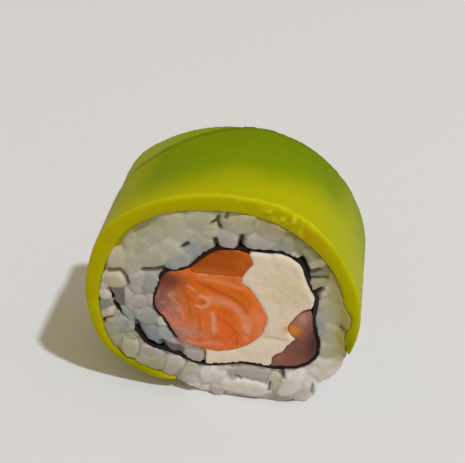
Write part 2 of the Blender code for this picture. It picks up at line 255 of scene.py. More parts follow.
def step_up(values, start, end):
    """A smooth step from 0 at start to 1 at end."""
    share = np.clip((values - start) / (end - start), 0, 1)
    return share * share * (3 - 2 * share)


def blend(colours, hexcode, amount):
    """Moves the colours towards one colour, by an amount for each point."""
    amount = np.clip(amount, 0, 1)[:, None]
    return colours * (1 - amount) + np.array(linear(hexcode)[:3]) * amount


def paint(shape, name, colours):
    """Keeps one linear colour for each point, as an attribute that the material reads."""
    layer = shape.verts.layers.float_color.new(name)
    for vert, colour in zip(shape.verts, colours):
        vert[layer] = (*colour, 1.0)


def food_material(name, attribute, fibre, fibre_depth, mottle, **settings):
    """Moist food whose colour was worked out for each point, with fibres of one size over it.

    Real fibres are too fine to show, so each food's are drawn several times coarser.
    """
    material, tree, shader = new_material(name, **settings)
    place = add_node(tree, "TexCoord").outputs["Object"]
    colour = add_node(tree, "Attribute", {"attribute_name": attribute})
    fibres = add_node(tree, "TexNoise", {"Scale": 1 / fibre, "Detail": 4.0, "Roughness": 0.6},
                      {"Vector": place})
    shade = add_node(tree, "MapRange", {"To Min": 1.0 - mottle, "To Max": 1.0 + mottle},
                     {"Value": fibres.outputs["Fac"]})
    tone = add_node(tree, "VectorMath", {"operation": "SCALE"},
                    {"Vector": colour.outputs["Color"], "Scale": shade.outputs["Result"]})
    tree.links.new(tone.outputs["Vector"], shader.inputs["Base Color"])
    bump = add_node(tree, "Bump", {"Strength": 1.0, "Distance": fibre_depth},
                    {"Height": fibres.outputs["Fac"]})
    tree.links.new(bump.outputs["Normal"], shader.inputs["Normal"])
    return material


# Flesh that light soaks into: yellow and soft at the rim, green and matt where it is deep, with
# faint streaks along the knife's path and hardly any shine.
avocado_flesh = food_material(
    "ripe avocado flesh, knife-sliced and pressed", "flesh", 1.43 * MM, 0.03 * MM, 0.06,
    Roughness=0.48, IOR=1.4, Specular_IOR_Level=0.06, Specular_Tint=(1.0, 0.9, 0.1, 1.0),
    Subsurface_Weight=0.3, Subsurface_Scale=1.0 * MM, Subsurface_Radius=(1.0, 0.9, 0.15))

for node, other, name in (("avocado_front", "avocado_rear", "avocado_slice_front"),
                          ("avocado_rear", "avocado_front", "avocado_slice_rear")):
    slice_shape = remeshed(bmesh_of(node), AVOCADO_VOXEL)
    soften(slice_shape, 3)
    thick = near_line(points_of(slice_shape), THICK_RIM, 2.2)
    grow(slice_shape, lambda point: (0.02 + 0.06 * rough(point, 5 * MM, 3.0)
                                     + 0.05 * rough(point, 1.3 * MM, 4.0)) * MM,
         ("rice", other), 0.18 * MM, 0.9 * MM * thick)
    spots = points_of(slice_shape)
    deep = (spots[:, 1] - FRONT) / MM
    x, z = spots[:, 0] / MM, spots[:, 2] / MM
    wander = np.array([rough(spot, 9 * MM, 2.0) for spot in spots])
    streak = np.array([rough((spot[0] / 4, spot[1], spot[2] / 4), 0.9 * MM, 6.0)
                       for spot in spots])
    colours = np.tile(np.array(linear("#B2B004")[:3]), (len(spots), 1))
    start = np.clip(0.2 + (x + 7.0) * 0.2, -0.5, 5.0)
    green = step_up(deep + 1.6 * wander + 0.7 * streak - start, 0.0, 10.5) * (z > 4)
    green *= 1 - 0.6 * step_up(-x, 12, 18) - 0.5 * step_up(x, 16, 20)
    colours = blend(colours, "#7C9002", green)
    colours = blend(colours, "#6C7E02", step_up(deep, 12, 20) * step_up(x, -12, 0) * 0.5)
    colours = blend(colours, "#A2AA04", step_up(x, 12, 20) * 0.5 * (1 - green))
    colours = blend(colours, "#566808", step_up(deep, 20.6, 22.2) * step_up(z, 14, 26) * 0.7)
    rim = step_up(-deep, -0.5, 0.1)
    colours = blend(colours, "#B8AE04", rim * 0.9)
    colours = blend(colours, "#C69A04", rim * near_spot(spots, 13.0, 35.8, 2.6, 1.6) * 0.8)
    colours = blend(colours, "#868E02", rim * near_spot(spots, 21.8, 14.8, 1.6, 3.2) * 0.9)
    # A painted highlight along the rounded top edge of the rim, where it catches the light.
    rim_edge_highlight = np.exp(-((deep - 0.45 - 0.15 * streak) / 0.3) ** 2) * step_up(z, 22, 32)
    colours = blend(colours, "#D8D21C", rim_edge_highlight * (0.5 + 0.5 * wander))
    # Lumps along the top of the rim: raised a little, with painted highlights on their tops.
    lumps = near_line(spots, LUMPY_RIM, 1.3) * step_up(1.4 - deep, 0, 1)
    glint_and_rise = step_up(np.array([rough(spot, 0.9 * MM, 71.0) for spot in spots]), -0.1, 0.3)
    colours = blend(colours, "#DCD62A", lumps * glint_and_rise * 0.8)
    colours *= (1 + 0.05 * streak)[:, None]
    # Painted shade on the lower left of the slices, towards the table.
    colours = blend(colours, "#868804", step_up(-z, -13.0, -4.0) * step_up(-x, 8, 14) * 0.6)
    # Painted shade along the seam between the slices: a wide dark line on the front slice and a
    # narrow one on the rear slice.
    seam = (SEAM_ACROSS * x + SEAM_UP * z + SEAM_START) - deep
    if node == "avocado_front":
        colours = blend(colours, "#3E4A02", np.exp(-(seam / 0.8) ** 2) * step_up(-x, -10, 2) * 0.9)
    else:
        colours = blend(colours, "#94A416", 0.6 + 0.3 * wander)
        # A painted pale sheen over the left of the rear slice.
        colours = blend(colours, "#A8A63C", step_up(-x, 8, 15) * 0.4)
        colours = blend(colours, "#3E4A02", np.exp(-(seam / 0.5) ** 2) * 0.8)
    spread = step_up(-x, -16, 2) * step_up(z, 22, 32) * step_up(deep, 10, 20)
    for vert, share in zip(slice_shape.verts, spread):
        vert.co += REAR_SPREAD * share
    slice_shape.normal_update()
    # The rim's lumps are raised, most where their painted highlights are.
    for vert, share in zip(slice_shape.verts, lumps * (0.1 + 0.25 * glint_and_rise)):
        vert.co += vert.normal * share * MM
    paint(slice_shape, "flesh", colours)
    finish_piece(name, slice_shape, avocado_flesh, "avocado", node)

# Seaweed: one toasted sheet, 0.6 mm thick once damp, rolled once round the filling with its tail
# in the rice. The knife leaves its edge slightly ragged.

# Nearly black and faintly glossy, with a coarse dry weave, and browner where salmon oil wets it.
damp_sheet = food_material(
    "toasted seaweed sheet, damp", "weave", 0.714 * MM, 0.08 * MM, 0.5, Roughness=0.55, IOR=1.4,
    Specular_IOR_Level=0.3)

# Places of the cut face where the sheet is bunched, and the stretch where it is drawn thin.
BUNCHED = [(-14.2, 13.2), (-12.9, 10.3), (-9.8, 9.9), (-6.2, 7.8), (9.8, 7.8), (17.0, 13.4),
           (12.8, 30.6), (13.6, 29.0), (-10.2, 17.2), (-8.0, 12.6), (-9.8, 26.0), (-1.0, 31.5),
           (2.6, 32.2)]
THINNED = [(-14.8, 14.4), (-16.6, 15.8), (-18.0, 18.2), (-18.8, 20.2)]
BY_SALMON = [(-2.0, 31.0), (-5.0, 28.0), (-7.0, 26.5), (-10.4, 24.0), (-11.2, 20.5)]
# The stretch under the filling, where a bluish sheen is painted on the sheet.
UNDER_FILLING = [(-5.0, 7.2), (0.0, 7.2), (7.0, 8.0)]
BY_CHEESE = [(15.6, 19.0), (15.2, 25.0), (14.0, 27.0)]
# Cuts round the sheet, this far in from each edge, so that only the edges are finely divided.
NORI_RINGS = (0.25, 0.5, 0.8, 1.2, 2.0, 4.0)
sheet = bmesh_of("nori")
for ring in NORI_RINGS:
    for level in (FRONT + (0.4 + ring) * MM, BACK - (0.4 + ring) * MM):
        bmesh.ops.bisect_plane(sheet, geom=sheet.verts[:] + sheet.edges[:] + sheet.faces[:],
                               dist=0.01 * MM, plane_co=(0, level, 0), plane_no=(0, 1, 0))
bmesh.ops.triangulate(sheet, faces=[face for face in sheet.faces if len(face.verts) > 4])
sheet.normal_update()
spots = points_of(sheet)
thicker = sum(near_spot(spots, x, z, 1.0, 1.0) for x, z in BUNCHED)
thinner = near_line(spots, THINNED, 1.2) * (spots[:, 1] < 0)
for vert, more, less in zip(sheet.verts, thicker, thinner):
    flat = Vector((vert.normal.x, 0, vert.normal.z)).normalized()
    vert.co += flat * MM * (0.22 * min(more, 1.0) - 0.12 * less - 0.08
                            + 0.1 * rough(vert.co, 1.3 * MM, 1.0))
    if abs(vert.co.y) > 9 * MM:
        inward = -math.copysign(1.0, vert.co.y)
        vert.co.y += inward * MM * (0.5 * less - 0.1 + 0.2 * rough(vert.co, 1.0 * MM, 7.0))
colours = np.tile(np.array(linear("#16120F")[:3]), (len(spots), 1))
colours = blend(colours, "#3C1A14", near_line(spots, BY_SALMON, 1.0) * 0.8)
# Painted bluish sheen on the sheet under the filling.
colours = blend(colours, "#23262A", near_line(spots, UNDER_FILLING, 1.0) * 0.7)
colours = blend(colours, "#34322A", near_line(spots, BY_CHEESE, 1.2) * 0.8)
paint(sheet, "weave", colours)
finish_piece("seaweed_sheet", sheet, damp_sheet, "nori", "nori")

# Salmon: strips of raw fish, sliced across the muscle. The flesh is deep orange, with pale lines
# (fat between the muscle blocks, and partly painted highlight where the wet flesh shines) and a
# browner, duller side where the strip lay against the skin.
SALMON_VOXEL = 0.24 * MM
# The fillings touch: each grows all over, and once more where a neighbour is near.
FILLING_GROWTH = 0.2 * MM
TO_SEAWEED = 0.22 * MM

# Wet flesh that glows orange from within, crossed by pale lines, with a thin shine of oil.
salmon_flesh = food_material(
    "raw salmon, sliced, moist", "flesh", 0.77 * MM, 0.05 * MM, 0.14, Roughness=0.42, IOR=1.4,
    Specular_IOR_Level=0.16, Specular_Tint=(1.0, 0.6, 0.35, 1.0), Subsurface_Weight=0.45,
    Subsurface_Scale=0.9 * MM, Subsurface_Radius=(1.0, 0.35, 0.15), Coat_Weight=0.08,
    Coat_Roughness=0.15)

# Each pale line on the cut face, partly fat and partly painted highlight where the wet flesh
# shines, with its width in millimetres and its strength.
FAT_AND_GLINT_LINES = [
    ([(-3.9, 19.6), (-3.2, 19.3), (-2.3, 19.8), (-1.9, 20.8), (-2.4, 21.6), (-3.4, 21.9)], 0.3, 0.9),
    ([(-1.3, 18.6), (-1.1, 17.0), (-0.8, 14.8)], 0.42, 0.8),
    ([(-2.0, 21.5), (0.3, 21.3), (2.4, 20.4), (3.6, 19.0), (4.4, 17.4), (4.6, 15.8)], 0.75, 0.5),
    ([(-5.6, 23.7), (-4.4, 22.9)], 0.25, 0.6),
    ([(4.2, 16.6), (4.8, 15.6)], 0.35, 0.8),
    ([(4.3, 14.3), (4.6, 13.7)], 0.35, 0.6),
    ([(-5.2, 11.9), (-3.6, 11.4), (-1.4, 12.0), (0.6, 12.1)], 0.3, 0.4),
    ([(-3.6, 26.2), (-2.4, 26.3)], 0.3, 0.5),
]
# Zones of colour: a soft oval or a line of the cut face, with its size and its strength.
UPPER_ZONES = [
    ("#A85010", near_spot, (-3.2, 28.6, 2.4, 1.4), 0.8),
    ("#8E4412", near_spot, (-1.0, 30.9, 3.4, 0.6), 0.6),
    ("#D67020", near_spot, (3.4, 29.4, 1.0, 1.6), 0.6),
    ("#D9702C", near_spot, (-1.0, 27.0, 4.0, 0.7), 0.6),
]
MAIN_ZONES = [
    ("#E87414", near_line, ([(-4.5, 24.4), (0, 24.0), (3.4, 23.0), (5.2, 21.0)], 1.3), 0.9),
    ("#EA6A08", near_spot, (0.8, 19.0, 2.4, 1.3), 0.9),
    ("#F28854", near_spot, (6.2, 18.0, 1.7, 3.4), 0.9),
    ("#EC7F45", near_line, ([(-3.4, 26.0), (3.0, 25.8)], 0.8), 0.8),
    ("#F26A30", near_spot, (1.6, 14.4, 2.6, 2.2), 0.8),
    ("#C69484", near_spot, (-5.4, 14.2, 2.8, 1.5), 0.8),
    ("#E07A5C", near_spot, (-2.5, 12.0, 3.2, 1.0), 0.8),
    ("#A0645C", near_spot, (-9.8, 20.4, 2.4, 5.4), 0.9),
    ("#8E5238", near_spot, (-8.6, 24.4, 2.4, 1.6), 0.9),
    ("#8E646C", near_spot, (-10.2, 19.6, 1.3, 2.8), 0.75),
    ("#BE8078", near_spot, (-8.4, 17.4, 1.6, 2.0), 0.8),
    ("#A88480", near_spot, (-7.0, 12.8, 1.8, 1.6), 0.85),
    ("#A86830", near_spot, (-7.2, 20.4, 0.9, 1.6), 0.5),
    ("#74402E", near_spot, (-9.0, 24.2, 2.2, 1.7), 0.85),
    ("#C9A08C", near_spot, (-8.0, 21.6, 0.8, 0.6), 0.5),
    ("#B79A7C", near_spot, (-7.4, 18.8, 1.0, 0.7), 0.5),
    ("#B8602C", near_line, ([(-6.2, 25.2), (-5.8, 22.0), (-5.2, 19.0), (-4.8, 17.0)], 0.4), 0.5),
    ("#C24E08", near_line, ([(-3.6, 24.6), (-0.6, 23.4), (2.6, 21.9), (4.6, 19.6)], 0.35), 0.7),
    ("#F5A070", near_line, ([(-2.4, 25.4), (1.2, 25.0), (3.6, 24.2)], 0.3), 0.6),
    ("#C65A20", near_line, ([(-6.8, 23.4), (-4.6, 20.6), (-3.4, 17.4), (-3.2, 14.6)], 0.3), 0.5),
    ("#F0A484", near_line, ([(-8.6, 21.4), (-7.0, 19.4), (-6.0, 16.6)], 0.25), 0.6),
    ("#EFA286", near_line, ([(-9.4, 17.4), (-7.4, 15.0), (-5.0, 13.6)], 0.25), 0.5),
    ("#D0541A", near_line, ([(-0.2, 17.8), (1.6, 16.8), (3.0, 14.6), (3.0, 12.6)], 0.35), 0.6),
    ("#F49468", near_line, ([(5.4, 20.6), (6.8, 18.4), (7.2, 15.8), (6.4, 13.6)], 0.35), 0.6),
    ("#D05A10", near_spot, (-3.0, 20.7, 0.6, 0.6), 0.8),
    ("#C0502C", near_spot, (-3.3, 12.5, 0.35, 0.3), 0.7),
    ("#C0502C", near_spot, (-1.0, 13.2, 0.4, 0.3), 0.7),
]
for node, other, name, base, zones in (
        ("salmon_main", "salmon_upper", "salmon_strip", "#EC7A2C", MAIN_ZONES),
        ("salmon_upper", "salmon_main", "salmon_strip_upper", "#BE5C12", UPPER_ZONES)):
    strip = remeshed(bmesh_of(node), SALMON_VOXEL)
    soften(strip, 1)
    grow(strip, lambda point: FILLING_GROWTH + 0.07 * MM * rough(point, 2.2 * MM, 5.0)
         + 0.07 * MM * rough(point, 0.7 * MM, 6.0), ("nori", "cream_cheese", other), TO_SEAWEED,
         0.14 * MM * near_line(points_of(strip), BY_SALMON, 1.4))
    spots = points_of(strip)
    shifted = spots + 0.25 * MM * np.array([[rough(spot, 1.5 * MM, 11.0), 0,
                                             rough(spot, 1.5 * MM, 13.0)] for spot in spots])
    colours = np.tile(np.array(linear(base)[:3]), (len(spots), 1))
    for hexcode, shape_of, where, amount in zones:
        colours = blend(colours, hexcode, shape_of(shifted, *where) * amount)
    if node == "salmon_main":
        fat_and_glint = np.zeros(len(spots))
        for line, width, amount in FAT_AND_GLINT_LINES:
            fat_and_glint = np.maximum(fat_and_glint, near_line(shifted, line, width) * amount)
        # The pale lines: fat, and painted highlights.
        colours = blend(colours, "#F2B090", fat_and_glint)
        side = step_up(-spots[:, 0], 3 * MM, 8 * MM) * step_up(-spots[:, 2], -23 * MM, -20 * MM)
        colours = blend(colours, "#D8A08C", 0.5 * side * step_up(
            np.array([rough(spot, 1.1 * MM, 21.0) for spot in spots]), 0.0, 0.5))
        strip.normal_update()
        for vert, share in zip(strip.verts, fat_and_glint):
            vert.co += vert.normal * 0.07 * MM * share
    muscle = np.array([rough((spot[0] * 0.5 + spot[2] * 0.8, spot[1] * 0.2,
                              (spot[2] * 0.8 - spot[0] * 1.2) * 0.3), 0.42 * MM, 3.0)
                       for spot in spots])
    colours *= (1 + 0.07 * muscle)[:, None]
    paint(strip, "flesh", colours)
    finish_piece(name, strip, salmon_flesh, "salmon", node)

# Dark salmon: the third strip was cut from beside the skin, and lies at the lower right. It is
# brown-red and pinker at its top, with an amber patch where oil has soaked in.
DARK_ZONES = [
    ("#74463A", near_spot, (14.8, 12.4, 2.6, 2.6), 0.7),
    ("#3A1C18", near_spot, (16.2, 14.6, 1.4, 4.2), 0.9),
    ("#C49186", near_spot, (13.7, 19.6, 1.1, 1.9), 0.95),
    ("#D98C2C", near_spot, (12.2, 16.8, 1.4, 1.3), 1.3),
    ("#A8705C", near_spot, (10.4, 10.4, 0.8, 1.0), 0.7),
]
strip = remeshed(bmesh_of("salmon_right"), SALMON_VOXEL)
soften(strip, 2)
grow(strip, lambda point: FILLING_GROWTH + 0.07 * MM * rough(point, 2.0 * MM, 9.0)
     + 0.08 * MM * rough(point, 0.7 * MM, 6.0), ("nori",), TO_SEAWEED)
spots = points_of(strip)
colours = np.tile(np.array(linear("#90584A")[:3]), (len(spots), 1))
for hexcode, shape_of, where, amount in DARK_ZONES:
    colours = blend(colours, hexcode, shape_of(spots, *where) * amount)
paint(strip, "flesh", colours)
# Denser and duller than the other strips, so less light comes back from within.
dark_flesh = food_material(
    "raw salmon from beside the skin, moist", "flesh", 0.77 * MM, 0.05 * MM, 0.15,
    Roughness=0.4, IOR=1.4, Specular_IOR_Level=0.3, Subsurface_Weight=0.3, Subsurface_Scale=0.6 * MM,
    Subsurface_Radius=(1.0, 0.3, 0.15), Coat_Weight=0.08, Coat_Roughness=0.15)
finish_piece("salmon_strip_dark", strip, dark_flesh, "dark_salmon", "salmon_right")

# Cream cheese: cut from a block and squeezed between the strips, so it fills the space beside
# them. It is smooth and dense, and the knife has smeared its face a little.
CHEESE_ZONES = [
    ("#EAD6AE", near_spot, (10.8, 25.6, 3.4, 3.6), 0.85),
    ("#E6D3C2", near_spot, (14.0, 24.0, 1.2, 2.4), 0.7),
    ("#F2D9C6", near_spot, (11.0, 19.4, 1.6, 2.0), 0.5),
    ("#E39A4A", near_spot, (11.3, 16.9, 0.7, 0.9), 0.9),
    ("#E8D2BC", near_spot, (9.2, 30.0, 1.0, 0.6), 0.5),
    ("#F0DCCB", near_line, ([(4.6, 24.8), (7.6, 20.6), (8.2, 17.4)], 0.7), 0.6),
    ("#DFCFA0", near_line, ([(12.6, 26.4), (12.2, 24.0), (12.6, 22.0)], 0.5), 0.5),
    ("#E2D2AC", near_line, ([(9.6, 23.0), (10.2, 21.0), (9.8, 19.0)], 0.35), 0.6),
    ("#D8BC98", near_line, ([(7.6, 14.6), (9.4, 14.9), (11.2, 14.4)], 0.3), 0.5),
]
CHEESE_VOXEL = 0.28 * MM
CHEESE_STEP = 14.5 * MM
cheese = remeshed(bmesh_of("cream_cheese"), CHEESE_VOXEL)
soften(cheese, 2)
grow(cheese, lambda point: FILLING_GROWTH + 0.14 * MM * rough(point, 2.6 * MM, 2.0)
     + 0.08 * MM * rough(point, 0.8 * MM, 8.0), ("nori", "salmon_main"), TO_SEAWEED)
cheese.normal_update()
# The cut face stands out above the step, where the upper lump of cheese ends, and in below it.
for vert in cheese.verts:
    if abs(vert.normal.y) > 0.6:
        lower = 1 / (1 + math.exp(-(CHEESE_STEP - vert.co.z) / (0.2 * MM)))
        vert.co.y += math.copysign((0.15 - 0.3 * lower) * MM, vert.co.y)
spots = points_of(cheese)
colours = np.tile(np.array(linear("#F1E1CA")[:3]), (len(spots), 1))
for hexcode, shape_of, where, amount in CHEESE_ZONES:
    colours = blend(colours, hexcode, shape_of(spots, *where) * amount)
paint(cheese, "curd", colours)
# Even, opaque and creamy, yellower where it lies against the fish, with a soft dull shine.
curd = food_material(
    "cream cheese, knife-smeared", "curd", 1.11 * MM, 0.05 * MM, 0.04, Roughness=0.5, IOR=1.4,
    Specular_IOR_Level=0.3, Subsurface_Weight=0.35, Subsurface_Scale=0.8 * MM,
    Subsurface_Radius=(1.0, 0.85, 0.6))
finish_piece("cream_cheese_filling", cheese, curd, "cream_cheese", "cream_cheese")

# Rice: cooked short grains, seasoned and pressed round the seaweed until they stick together, in
# one mass whose gaps are filled with starch. The knife flattens the grains at the cut faces, and
# those below are pressed flat where the roll rests.

# The solid's core is cut clear of its end grains at this half length, and its ends are drawn out
# to this far behind the cut faces, so that the grains placed here stand out of it.
CORE_CUT = 9.5 * MM
RICE_FILL = 0.6 * MM
RICE_VOXEL = 0.32 * MM
GRAIN_WIDTH = 3.1
GRAIN_LENGTH = 5.8
# How much of a grain past the knife's cut is pressed back, and how far it may pass the rice's wall.
GRAIN_PRESS = 0.86
PAST_WALL = 0.12 * MM
# Moisture makes each grain a slightly different grey. The slate and dark tones are painted
# shade, for grains set back in hollows, and the gold tone is painted yellow light from the
# avocado beside it.
RICE_TONES = {
    "pearl": "#BFBDA6", "pale": "#D9D4CA", "beige": "#CDC4AE", "cool": "#A8ACA8",
    "slate": "#8E959A", "mauve": "#BDB5AF", "green": "#B0AF98", "gold": "#B4AC68", "dark": "#7A7070",
}
# The grains that show at the front cut face: place across and up, length and width, the angle
# of its length, and how far it is set back, in millimetres and degrees.
FACE_GRAINS = {
    "pearl": [
        (-12.0, 28.7, 7.0, 4.8, 25, 0.05), (-11.6, 32.8, 6.4, 4.0, 32, 0.1),
        (-8.4, 30.5, 5.2, 4.0, 35, 0.12), (-8.2, 34.9, 7.2, 4.2, 24, 0.15),
        (-4.0, 36.1, 6.0, 3.8, 8, 0.2), (-14.9, 27.0, 5.4, 3.0, 100, 0.15),
        (-13.2, 30.6, 4.0, 3.4, 60, 0.15), (-13.0, 34.0, 4.0, 2.0, 40, 0.35),
        (-2.7, 33.5, 4.4, 3.2, 80, 0.3), (-6.2, 33.3, 4.2, 3.0, 30, 0.25),
        (2.6, 36.6, 6.0, 3.6, 4, 0.05), (6.0, 36.6, 4.0, 2.4, -15, 0.4),
        (18.2, 21.4, 5.8, 3.8, 88, 0.25), (18.5, 17.0, 4.8, 3.6, 95, 0.35),
        (18.9, 13.6, 4.8, 4.0, 80, 0.3), (18.6, 25.8, 5.2, 2.3, 104, 0.4),
        (-15.3, 9.0, 5.4, 3.4, 97, 0.0),
    ],
    "beige": [
        (-15.5, 31.0, 4.0, 3.6, 60, 0.1), (-17.3, 27.0, 4.2, 3.2, 70, 0.3),
        (-18.0, 22.8, 4.5, 3.2, 10, 0.2), (-19.6, 15.4, 2.8, 1.8, 30, 0.4),
        (9.9, 5.0, 4.2, 2.6, 100, 0.45), (-17.4, 31.2, 2.2, 1.6, 60, 0.5),
    ],
    "pale": [
        (-19.9, 19.3, 2.6, 2.2, 100, 0.4), (-20.1, 21.4, 2.4, 1.6, 60, 0.5),
        (4.8, 2.5, 8.6, 3.6, -2, 0.0), (13.0, 5.0, 7.4, 4.4, 62, 0.1),
        # These two lie on the lower right flank, made pale as painted light.
        (18.4, 9.6, 7.6, 5.0, 62, 0.5), (16.4, 7.4, 4.6, 3.0, 55, 0.55),
        (1.2, 6.5, 2.4, 1.4, 10, 0.35), (-9.7, 15.1, 2.2, 1.7, -30, 0.3),
        (17.0, 25.5, 2.5, 1.5, 60, 0.2), (14.9, 30.3, 3.2, 2.2, 70, 0.2),
        (11.7, 31.9, 2.2, 1.2, -30, 0.25), (-0.8, 4.4, 5.8, 4.6, 10, 0.25),
    ],
    "cool": [
        (-5.0, 31.5, 4.9, 3.6, 58, 0.3), (-7.2, 28.4, 5.2, 2.8, 30, 0.25),
        (-12.0, 23.3, 4.8, 2.6, 88, 0.2), (-12.6, 16.0, 5.2, 3.5, -15, 0.3),
        (10.3, 33.6, 3.8, 2.4, 95, 0.3), (8.8, 33.2, 2.8, 2.2, 60, 0.45),
        (-16.6, 13.3, 3.9, 2.7, -20, 0.4), (-9.3, 12.5, 3.2, 2.5, -50, 0.3),
        (13.8, 32.3, 3.2, 2.0, -45, 0.45), (16.7, 18.3, 5.4, 1.8, 95, 0.45),
        (-15.6, 15.9, 2.9, 2.0, 120, 0.5),
    ],
    # Grains set back among the others; their grey is painted shade.
    "slate": [
        (-11.4, 12.2, 5.4, 4.0, -8, 0.35), (15.8, 28.8, 2.6, 1.7, 30, 0.7),
        (12.2, 33.6, 3.6, 2.6, -40, 0.45), (-19.7, 17.1, 2.8, 2.0, 60, 0.6),
    ],
    "mauve": [
        (-13.7, 19.0, 3.2, 2.7, 0, 0.25), (-15.4, 18.8, 4.6, 1.5, 95, 0.3),
        (-11.9, 19.6, 3.0, 1.4, 90, 0.2), (-13.9, 23.2, 5.8, 3.2, 86, 0.3),
        (-4.0, 8.8, 3.6, 3.4, -10, 0.3), (-12.0, 8.0, 5.2, 2.3, -18, 0.35),
        (1.0, 33.4, 3.8, 3.5, 60, 0.15), (7.7, 35.6, 4.8, 3.8, 60, 0.2),
        (6.4, 6.2, 6.6, 3.2, -3, 0.3), (3.0, 5.6, 3.4, 2.0, 80, 0.4),
        (-8.0, 5.5, 5.0, 3.5, 65, 0.2), (5.8, 33.6, 5.0, 2.8, 8, 0.1),
        (-7.8, 11.2, 2.4, 1.4, -20, 0.35), (-5.6, 10.4, 2.6, 1.6, -15, 0.3),
        (5.2, 0.9, 6.4, 1.8, -8, 1.0), (15.0, 2.6, 5.8, 3.4, 66, 1.0),
    ],
    "green": [
        (-18.6, 12.6, 4.7, 2.9, 75, 0.4), (-17.9, 9.6, 3.8, 2.6, 60, 0.5),
        (-11.9, 5.7, 6.2, 3.6, 4, 0.2), (-4.8, 4.1, 5.4, 3.8, 75, 0.2),
        (-14.9, 11.3, 2.6, 1.8, 10, 0.5), (15.8, 27.0, 2.8, 2.1, 30, 0.4),
        (11.0, 1.0, 4.8, 2.0, 3, 0.8),
    ],
    # Grains beside the avocado at the right, yellowed with painted light from the avocado.
    "gold": [
        (21.0, 19.9, 4.2, 2.6, -48, 0.0), (20.2, 22.3, 2.4, 1.6, 60, 0.35),
        (20.1, 16.6, 3.6, 1.6, 95, 0.5),
    ],
    # Grains sunk deep in hollows; their dark tone is painted shade.
    "dark": [
        (-17.2, 19.2, 4.7, 2.9, 113, 0.9), (-7.2, 9.7, 3.0, 2.4, -30, 0.6),
        (16.0, 25.0, 2.6, 1.6, 70, 0.9),
    ],
}
# Deep gaps between the grains: a line of the cut face, its width and its depth in millimetres.
CREVICES = [
    ([(-6.6, 30.9), (-5.7, 31.7)], 0.3, 1.3),
    ([(-1.9, 36.1), (-1.2, 36.6), (-0.9, 37.3)], 0.3, 1.2),
    ([(-1.2, 36.6), (-0.6, 35.4)], 0.3, 1.2),
    ([(0.3, 37.4), (0.6, 38.4), (1.2, 38.6)], 0.25, 1.0),
    ([(-17.6, 29.3), (-17.4, 30.2)], 0.25, 0.9),
    ([(-18.8, 24.4), (-17.0, 24.9), (-16.0, 23.5), (-15.6, 22.3)], 0.3, 1.0),
    ([(-13.0, 25.5), (-9.8, 26.2)], 0.3, 1.4),
    ([(-19.0, 20.4), (-18.3, 19.0)], 0.35, 1.2),
    ([(-20.0, 13.5), (-19.7, 14.2), (-18.6, 14.6)], 0.25, 1.0),
    ([(-14.2, 11.0), (-13.8, 8.6), (-14.3, 6.6)], 0.25, 0.5),
    ([(-14.5, 14.0), (-13.8, 12.2), (-12.6, 10.4), (-11.6, 9.9)], 0.45, 1.0),
    ([(-10.0, 10.8), (-9.6, 9.8)], 0.4, 0.9),
    ([(12.6, 31.2), (13.8, 29.2)], 0.5, 1.0),
    ([(11.0, 7.6), (11.4, 6.0)], 0.3, 1.4),
    ([(2.9, 33.9), (2.5, 32.0)], 0.4, 1.4),
    ([(-1.4, 33.0), (-1.0, 31.6)], 0.35, 1.4),
    ([(20.1, 18.6), (20.7, 18.2)], 0.25, 0.9),
    ([(13.5, 28.6), (15.5, 29.5)], 0.35, 1.2),
    ([(15.3, 25.0), (16.4, 25.8)], 0.35, 1.2),
    ([(14.4, 27.6), (16.9, 28.0)], 0.25, 1.0),
    ([(3.2, 5.0), (4.0, 4.4)], 0.22, 0.7),
    ([(9.2, 4.4), (9.0, 2.4)], 0.22, 0.8),
    ([(16.4, 5.6), (16.5, 2.4)], 0.25, 0.9),
]
# Stretches of the cut face where the knife smeared the rice until few gaps show.
SMEARED = [([(-14.6, 26.6), (-12.0, 30.6), (-7.0, 34.0), (-3.4, 35.4)], 3.2),
           ([(18.4, 23.0), (18.8, 12.0)], 2.2)]
draw = random.Random(5)
rice = bmesh_of("rice")
for side in (-1, 1):
    level = side * CORE_CUT
    bmesh.ops.bisect_plane(rice, geom=rice.verts[:] + rice.edges[:] + rice.faces[:],
                           dist=0.001 * MM, plane_co=(0, level, 0), plane_no=(0, side, 0),
                           clear_outer=True)
    bmesh.ops.triangle_fill(rice, use_beauty=True, normal=(0, side, 0),
                            edges=[edge for edge in rice.edges if edge.is_boundary])
    for vert in rice.verts:
        if abs(vert.co.y - level) < 0.01 * MM:
            vert.co.y = side * (BACK - RICE_FILL)
bmesh.ops.recalc_face_normals(rice, faces=rice.faces)
grain_places = []
rice_tree = BVHTree.FromBMesh(bmesh_of("rice"))
cover_trees = [BVHTree.FromBMesh(bmesh_of(node)) for node in ("avocado_front", "avocado_rear")]
sheet_tree = BVHTree.FromBMesh(bmesh_of("nori"))
grain_mesh = bpy.data.meshes.new("grain")


def warp(point):
    """How far the mass is smeared in the cut face at a place, the same for shape and colour."""
    return Vector((0.45 * rough(point, 2.4 * MM, 31.0) + 0.22 * rough(point, 0.9 * MM, 35.0), 0,
                   0.45 * rough(point, 2.4 * MM, 47.0) + 0.22 * rough(point, 0.9 * MM, 51.0))) * MM


def held_in(point):
    """The point, drawn back to the rice's wall where it would reach into seaweed or avocado."""
    middle = Vector((point.x, 0, point.z))
    wall, normal, _, far = rice_tree.find_nearest(middle)
    if (middle - wall).dot(normal) < 0 or far < PAST_WALL:
        return point
    if min(tree.find_nearest(wall)[3] for tree in (*cover_trees, sheet_tree)) > 0.6 * MM:
        return point
    return Vector((wall.x, point.y, wall.z)) + normal * PAST_WALL


